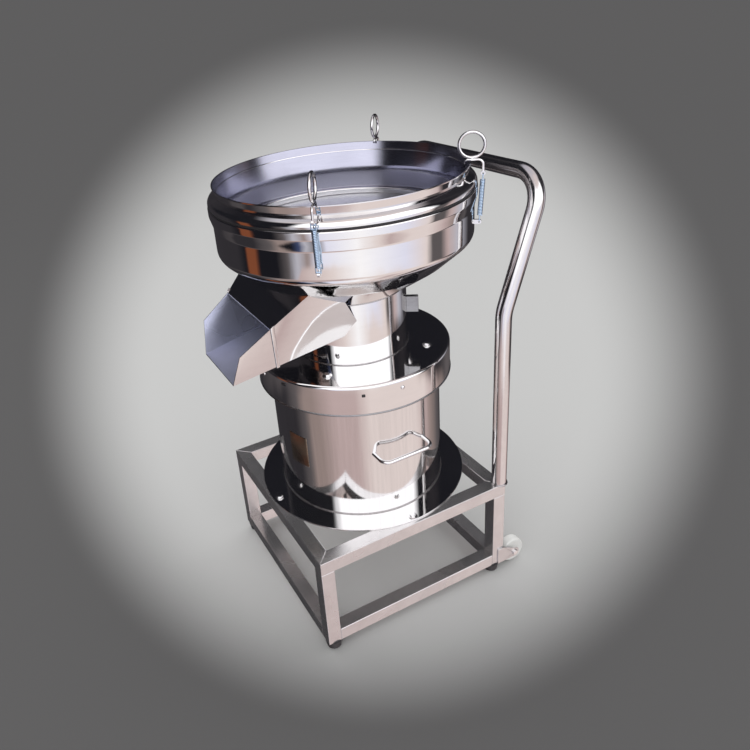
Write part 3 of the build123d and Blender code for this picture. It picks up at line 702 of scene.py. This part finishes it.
class SIEVE_OT_fastenings(Operator):
    """Washers, the skirt's screws and the black pieces painted as shade in its slot and hole"""

    bl_idname = "sieve.fastenings"
    bl_label = "Washers and screws"

    def execute(self, context):
        self.washers("base_bolt", "cart")
        self.washers("cover_bolt", "vibrating_body")
        self.skirt_screws()
        self.skirt_hole_shades()
        return {"FINISHED"}

    def washers(self, name, body):
        """A washer under each bolt head of a node."""
        node = name + "s"
        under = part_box(node)[0].z
        thick = 0.0012
        washers = []
        for x, y in self.places(node):
            bpy.ops.mesh.primitive_cylinder_add(
                vertices=40, radius=0.0096, depth=thick, location=(x, y, under + thick / 2))
            washers.append(named(name + "_washer"))
        washers = join(name + "_washers", washers)
        settle(washers)
        rounded(washers, 0.0004, 2, 30.0)
        smooth(washers, 40.0)
        dress(washers, FINISH["wire"], body, "bright_wire")

    def skirt_screws(self):
        """Domed screw heads round the cover's skirt."""
        screws = []
        for azimuth in SKIRT_SCREW_AZ:
            bpy.ops.mesh.primitive_uv_sphere_add(
                segments=24, ring_count=12, radius=0.0042, location=out_at(azimuth, COVER_R + 0.0008, 0.556),
                rotation=(0, math.radians(90), math.radians(azimuth)), scale=(1, 1, 0.5))
            screws.append(named("skirt_screw"))
        screws = join("skirt_screws", screws)
        settle(screws)
        smooth(screws, 60.0)
        dress(screws, FINISH["wire"], "vibrating_body", "bright_wire")

    def skirt_hole_shades(self):
        """Black pieces in the skirt's slot and hole, painted as the shade inside them."""
        hole_shades = []
        for azimuth, width, height in SKIRT_HOLE_SHADES:
            clear()
            bpy.ops.mesh.primitive_cube_add(
                size=1.0, location=out_at(azimuth, COVER_R, height),
                rotation=(0, 0, math.radians(azimuth)), scale=(0.0026, width, 0.006))
            hole_shades.append(named("skirt_hole_shade"))
        hole_shades = join("skirt_hole_shades", hole_shades)
        settle(hole_shades)
        rounded(hole_shades, 0.0011, 4, 30.0)
        smooth(hole_shades, 40.0)
        dress(hole_shades, FINISH["rubber"], "vibrating_body", "black_rubber")

    def places(self, node):
        """Middles of the separate bolt heads in a node."""
        head_span = 0.03
        found = []
        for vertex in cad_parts[node].data.vertices:
            spot = vertex.co.to_2d()
            for group in found:
                if (group[0] - spot).length < head_span:
                    group.append(spot)
                    break
            else:
                found.append([spot])
        middles = []
        for group in found:
            xs = [spot.x for spot in group]
            ys = [spot.y for spot in group]
            middles.append(((min(xs) + max(xs)) / 2, (min(ys) + max(ys)) / 2))
        return middles


class SIEVE_OT_chute(Operator):
    """Discharge chute and its raised band"""

    bl_idname = "sieve.chute"
    bl_label = "Chute"

    def execute(self, context):
        duct = eased("chute_duct", "chute", PLATE_EASE)
        dress(duct, FINISH["polished"], "vibrating_body", "polished_steel", "chute")
        duct.data.materials.append(FINISH["shaded_dull_sheet"])
        mouth_reach = 0.295
        mouth_middle_z = 0.633
        slope = 0.4
        # Faces that look into the duct take the painted shade of the dull sheet
        for face in duct.data.polygons:
            reach = AXIS_Y - face.center.y
            middle = Vector((0, face.center.y, mouth_middle_z + slope * (mouth_reach - reach)))
            out = (face.center - middle).normalized()
            if face.normal.dot(out) < -0.2:
                face.material_index = 1
        band = eased("chute_band_strip", "chute_band", 0.0011)
        dress(band, FINISH["polished"], "vibrating_body", "polished_steel", "chute_band")
        return {"FINISHED"}


class SIEVE_OT_sieve_ring(Operator):
    """Lift-out sieve ring, its wire cloth and the clamp ring"""

    bl_idname = "sieve.sieve_ring"
    bl_label = "Sieve ring"

    def execute(self, context):
        low = RING_HIGH.z - 0.038
        notch_z = low + 0.020
        collar_r = RING_HIGH.x
        notch_r = collar_r - 0.0175
        lip_r = notch_r + 0.0057
        wall_r = notch_r - 0.010
        wall = turned_sheet(
            "sieve_wall",
            (wall_r - 0.018, RING_LOW.z, 0), (wall_r, RING_LOW.z, 0.003), (wall_r, low - 0.020, 0.060),
            (notch_r, notch_z, 0.025), (lip_r - SHEET, RING_HIGH.z - SHEET, 0.001),
            (lip_r, RING_HIGH.z - SHEET, 0))
        dress(wall, FINISH["shaded_satin_sheet"], "sieve", "satin_steel", "sieve_ring")
        # Faces that look out take the polished sheet; the rest keep the painted shade of the inside
        wall.data.materials.append(FINISH["polished"])
        for face in wall.data.polygons:
            out = (face.center - AXIS).to_2d()
            if face.normal.to_2d().dot(out) > 0.1 * out.length:
                face.material_index = 1
        collar = turned_sheet(
            "sieve_collar", (collar_r, low, 0), (collar_r, low + 0.009, 0.012), (notch_r, notch_z, 0))
        dress(collar, FINISH["polished"], "sieve", "polished_steel")
        cloth = eased("sieve_cloth_disc", "sieve_mesh")
        dress(cloth, FINISH["cloth"], "sieve", "satin_steel", "sieve_mesh")
        clamp = turned_ring(
            "mesh_clamp_ring", CLAMP_HIGH.x - 0.009, CLAMP_HIGH.x, CLAMP_LOW.z, CLAMP_HIGH.z, 0.003)
        dress(clamp, FINISH["wire"], "sieve", "satin_steel", "mesh_clamp")
        return {"FINISHED"}


class SIEVE_OT_spring_hooks(Operator):
    """Wound springs, hooks and pull rings"""

    bl_idname = "sieve.spring_hooks"
    bl_label = "Spring hooks"

    def execute(self, context):
        look = context.scene.sieve_look
        wire = look.coil_wire
        low_pin_z = BOWL_HIGH.z - 0.073
        low_reach = BOWL_HIGH.x + 0.0025
        top_reach = BOWL_HIGH.x + 0.009
        spring_r = 0.005
        length = 0.093
        end = 0.011
        half = 0.0042
        bend = 0.0022
        lean = math.degrees(math.asin((top_reach - low_reach) / length))
        for name, azimuth in HOOK_AZ.items():
            node = "spring_" + name
            pieces = [coil(node + "_coil", (0, 0, end), 0.0, 0.0, spring_r - wire, wire, look.coil_turns,
                           length - 2 * end)]
            for pin_z, toward in ((0.0, 1), (length, -1)):
                foot = pin_z + toward * (end + 2 * wire)
                run = end + 2 * wire - bend
                pieces.append(bent_rod(
                    node + "_bail", (0, half, foot), (0, 0, -toward), wire, ("run", run),
                    ("bend", 90, bend, (0, -1, 0)), ("run", 2 * (half - bend)),
                    ("bend", 90, bend, (0, 0, toward)), ("run", run)))
            spring = join(node + "_coil", pieces)
            place_at(spring, out_at(azimuth, low_reach, low_pin_z), azimuth, lean)
            dress(spring, FINISH["zinc"], "vibrating_body", "spring_zinc", node)
            body = "hook_body_" + name
            node = "hook_" + name
            dress(eased(node + "_wire", node, 0.0, 50.0), FINISH["wire"], body, "bright_wire", node)
            node = "pull_ring_" + name
            dress(eased(node + "_wire", node, 0.0, 60.0), FINISH["wire"], body, "bright_wire", node)
        return {"FINISHED"}


# Shades of the studio room, as light
BLACK = (0.012, 0.012, 0.016)
DARK = (0.036, 0.033, 0.038)
DIM = (0.13, 0.115, 0.118)
RUST = (0.24, 0.075, 0.035)
NAVY = (0.06, 0.08, 0.17)
TAN = (0.36, 0.28, 0.26)
ROSE = (0.62, 0.48, 0.47)
CREAM = (0.92, 0.80, 0.77)
WHITE = (1.2, 1.18, 1.2)
GLARE = (1.8, 1.8, 1.86)
LAVENDER = (0.92, 0.92, 1.08)
SILVER = (0.58, 0.57, 0.64)

# What stands round the machine, by azimuth, at the levels of the room from the floor up
FOOT_WALL = (
    (-180, BLACK), (-124, BLACK), (-120, RUST), (-112, RUST), (-108, BLACK), (-82, BLACK), (-74, NAVY),
    (-66, SILVER), (-56, DIM), (-46, LAVENDER), (-16, WHITE), (6, CREAM), (18, ROSE), (44, CREAM),
    (52, DARK), (62, DIM), (72, ROSE), (84, SILVER), (104, DARK), (180, BLACK))
LOW_WALL = (
    (-180, DARK), (-122, DARK), (-104, DIM), (-94, TAN), (-82, TAN), (-55, ROSE), (-30, ROSE),
    (-12, CREAM), (20, CREAM), (58, CREAM), (76, ROSE), (90, TAN), (112, DIM), (135, DARK), (180, DARK))
MID_WALL = (
    (-180, DARK), (-100, DIM), (-72, ROSE), (-40, CREAM), (-14, WHITE), (10, CREAM), (46, CREAM),
    (60, TAN), (72, DARK), (90, DARK), (112, DIM), (180, DARK))
HIGH_WALL = (
    (-180, DARK), (-136, DARK), (-124, BLACK), (-121, RUST), (-111, RUST), (-107, BLACK), (-88, BLACK),
    (-79, DIM), (-70, SILVER), (-60, TAN), (-52, LAVENDER), (-16, WHITE), (24, LAVENDER), (46, CREAM),
    (52, DIM), (64, DIM), (72, ROSE), (86, SILVER), (108, DARK), (180, DARK))
CEILING = (
    (-180, DARK), (-160, BLACK), (-74, BLACK), (-64, GLARE), (48, GLARE), (58, BLACK), (90, DARK),
    (128, BLACK), (166, BLACK), (180, DARK))
OVERHEAD = ((-180, SILVER), (0, CREAM), (180, SILVER))

# Each level with the elevations between which it takes over from the one below
LEVELS = (
    (FOOT_WALL, -72, -64), (LOW_WALL, -44, -42), (MID_WALL, -31, -29), (HIGH_WALL, -26.5, -24.5),
    (CEILING, -2, 12), (OVERHEAD, 48, 62))

# The room's edges wander a little: scale of the wandering and how far it goes
WANDER = ((5.0, 0.09), (19.0, 0.035))


def wandering(nodes, links, direction):
    """A direction moved a little, so that the room's edges aren't ruled lines."""
    way = direction
    for scale, reach in WANDER:
        clutter = nodes.new("ShaderNodeTexNoise")
        clutter.inputs["Scale"].default_value = scale
        links.new(direction, clutter.inputs["Vector"])
        shift = nodes.new("ShaderNodeVectorMath")
        shift.operation = "MULTIPLY_ADD"
        links.new(clutter.outputs["Color"], shift.inputs[0])
        shift.inputs[1].default_value = (reach, reach, reach * 0.3)
        links.new(way, shift.inputs[2])
        centred = nodes.new("ShaderNodeVectorMath")
        centred.operation = "SUBTRACT"
        links.new(shift.outputs[0], centred.inputs[0])
        centred.inputs[1].default_value = (reach / 2, reach / 2, reach * 0.15)
        way = centred.outputs[0]
    return way


def room_light(nodes, links):
    """The room's light by direction: azimuth ramps for its levels, blended by elevation."""
    coords = nodes.new("ShaderNodeTexCoord")
    parts = nodes.new("ShaderNodeSeparateXYZ")
    links.new(wandering(nodes, links, coords.outputs["Generated"]), parts.inputs["Vector"])
    around = nodes.new("ShaderNodeMath")
    around.operation = "ARCTAN2"
    links.new(parts.outputs["Y"], around.inputs[0])
    links.new(parts.outputs["X"], around.inputs[1])
    azimuth = nodes.new("ShaderNodeMapRange")
    azimuth.inputs["From Min"].default_value = -math.pi
    azimuth.inputs["From Max"].default_value = math.pi
    links.new(around.outputs[0], azimuth.inputs["Value"])
    turn = azimuth.outputs["Result"]
    height = parts.outputs["Z"]
    shade = ramp(nodes, links, turn, (0.0, ROSE), (0.5, CREAM), (1.0, ROSE))
    for wall, start, end in LEVELS:
        level = ramp(nodes, links, turn, *(((place + 180) / 360, colour) for place, colour in wall))
        below = math.sin(math.radians(start))
        above = math.sin(math.radians(end))
        share = levels(nodes, links, height, 0.0, 1.0, below, above)
        shade = mixed(nodes, links, share, shade, level)
    return shade


def mixed(nodes, links, share, first, second):
    """One colour that turns into another."""
    node = nodes.new("ShaderNodeMix")
    node.data_type = "RGBA"
    links.new(share, node.inputs[0])
    for socket, colour in ((node.inputs[6], first), (node.inputs[7], second)):
        if isinstance(colour, tuple):
            socket.default_value = (*colour, 1.0)
        else:
            links.new(colour, socket)
    return node.outputs[2]


# The camera, and the painted pool of light on the backdrop behind the machine
EYE = Vector((1.1922, AXIS_Y - 0.6283, 1.2537))
SPIN = Vector((1.8375071, 1.0665310, -0.7879002))
RIGHT, DOWN, AHEAD = Matrix.Rotation(SPIN.length, 3, SPIN.normalized())
FOCAL = 33.518 / 36.0
SHIFT = (0.0972, -0.0501)
POOL_RIGHT = SHIFT[0] / FOCAL - 0.013
POOL_DOWN = -SHIFT[1] / FOCAL - 0.010
POOL_WAY = (AHEAD + RIGHT * POOL_RIGHT + DOWN * POOL_DOWN).normalized()
POOL_OUTER = 27.0
POOL_INNER = 17.0
POOL_EDGE = (0.114, 0.112, 0.113)
POOL_LIGHT = (0.56, 0.56, 0.555)


def painted_pool(nodes, links, direction):
    """A painted pool of light: pale in the middle of the backdrop, grey in its corners."""
    unit = nodes.new("ShaderNodeVectorMath")
    unit.operation = "NORMALIZE"
    links.new(direction, unit.inputs[0])
    dot = nodes.new("ShaderNodeVectorMath")
    dot.operation = "DOT_PRODUCT"
    links.new(unit.outputs[0], dot.inputs[0])
    dot.inputs[1].default_value = POOL_WAY
    outer = math.cos(math.radians(POOL_OUTER))
    inner = math.cos(math.radians(POOL_INNER))
    share = levels(nodes, links, dot.outputs["Value"], 0.0, 1.0, outer, inner)
    return mixed(nodes, links, share, POOL_EDGE, POOL_LIGHT)


class SIEVE_OT_stage(Operator):
    """Pale floor, soft light, studio room and camera"""

    bl_idname = "sieve.stage"
    bl_label = "Stage"

    def execute(self, context):
        scene = context.scene
        scene.view_settings.view_transform = "Standard"
        self.room(scene)
        self.floor()
        for name, place, size, power in (
            ("key_light", (2.2, -1.6, 2.8), 1.6, 9.0),
            ("fill_light", (-2.0, -1.8, 2.2), 1.8, 4.0),
            ("top_light", (0.2, 0.6, 3.2), 2.0, 6.0),
        ):
            lamp = bpy.data.lights.new(name, "AREA")
            lamp.size = size
            lamp.energy = power
            ob = bpy.data.objects.new(name, lamp)
            scene.collection.objects.link(ob)
            ob.location = place
            ob.rotation_euler = (Vector((0, 0, 0.5)) - Vector(place)).to_track_quat("-Z", "Y").to_euler()
            ob.visible_glossy = False
        self.camera(scene)
        return {"FINISHED"}

    def room(self, scene):
        """Even light for matt things, the studio room for gloss, and the backdrop with its painted pool of
        light for the camera.
        """
        world = bpy.data.worlds.new("studio_room")
        scene.world = world
        world.use_nodes = True
        nodes = world.node_tree.nodes
        links = world.node_tree.links
        back = nodes["Background"]
        coords = nodes.new("ShaderNodeTexCoord")
        rays = nodes.new("ShaderNodeLightPath")
        gloss = room_light(nodes, links)
        # The backdrop's colour is a painted pool of light
        backdrop = painted_pool(nodes, links, coords.outputs["Generated"])
        unseen = mixed(nodes, links, rays.outputs["Is Glossy Ray"], (1.0, 1.0, 1.0), gloss)
        seen = mixed(nodes, links, rays.outputs["Is Camera Ray"], unseen, backdrop)
        links.new(seen, back.inputs["Color"])
        back.inputs["Strength"].default_value = 1.0

    def floor(self):
        """A matt floor with a painted pool of light: pale in the middle, grey further out."""
        clear()
        bpy.ops.mesh.primitive_plane_add(size=60.0, location=(0, 0, -0.0005))
        floor = named("pale_floor")
        settle(floor)
        mat, nodes, links, shader = new_material("pale_floor")
        shader.inputs["Roughness"].default_value = 0.9
        shader.inputs["Specular IOR Level"].default_value = 0.0
        coords = nodes.new("ShaderNodeTexCoord")
        away = nodes.new("ShaderNodeVectorMath")
        away.operation = "SUBTRACT"
        links.new(coords.outputs["Object"], away.inputs[0])
        away.inputs[1].default_value = EYE
        # The floor's colour is a painted pool of light round the machine
        links.new(painted_pool(nodes, links, away.outputs[0]), shader.inputs["Base Color"])
        floor.data.materials.append(mat)
        floor.visible_glossy = False

    def camera(self, scene):
        """The camera, above and to the right of the chute."""
        camera = bpy.data.cameras.new("view_camera")
        camera.sensor_width = 36.0
        camera.lens = 36.0 * FOCAL
        camera.shift_x, camera.shift_y = SHIFT
        ob = bpy.data.objects.new("view_camera", camera)
        scene.collection.objects.link(ob)
        ob.matrix_world = Matrix((
            (RIGHT[0], -DOWN[0], -AHEAD[0], EYE.x),
            (RIGHT[1], -DOWN[1], -AHEAD[1], EYE.y),
            (RIGHT[2], -DOWN[2], -AHEAD[2], EYE.z),
            (0, 0, 0, 1),
        ))
        scene.camera = ob


class SIEVE_PT_panel(Panel):
    """Lists the pieces of the machine"""

    bl_idname = "SIEVE_PT_panel"
    bl_label = "Vibrating Sieve"
    bl_space_type = "VIEW_3D"
    bl_region_type = "UI"
    bl_category = "Sieve"

    def draw(self, context):
        look = context.scene.sieve_look
        for key in SieveLook.__annotations__:
            self.layout.prop(look, key)
        for step in STEPS:
            self.layout.operator(step.bl_idname)


STEPS = (
    SIEVE_OT_stage,
    SIEVE_OT_trolley,
    SIEVE_OT_push_handle,
    SIEVE_OT_drum,
    SIEVE_OT_motor,
    SIEVE_OT_body,
    SIEVE_OT_fastenings,
    SIEVE_OT_chute,
    SIEVE_OT_sieve_ring,
    SIEVE_OT_spring_hooks,
)
CLASSES = (SieveLook, *STEPS, SIEVE_PT_panel)


def register():
    for cls in CLASSES:
        bpy.utils.register_class(cls)
    bpy.types.Scene.sieve_look = PointerProperty(type=SieveLook)


def unregister():
    del bpy.types.Scene.sieve_look
    for cls in reversed(CLASSES):
        bpy.utils.unregister_class(cls)


def main():
    """Builds the machine piece by piece."""
    register()
    make_finishes()
    bpy.ops.sieve.stage()
    bpy.ops.sieve.trolley()
    bpy.ops.sieve.push_handle()
    bpy.ops.sieve.drum()
    bpy.ops.sieve.motor()
    bpy.ops.sieve.body()
    bpy.ops.sieve.fastenings()
    bpy.ops.sieve.chute()
    bpy.ops.sieve.sieve_ring()
    bpy.ops.sieve.spring_hooks()


if __name__ == "__main__":
    main()
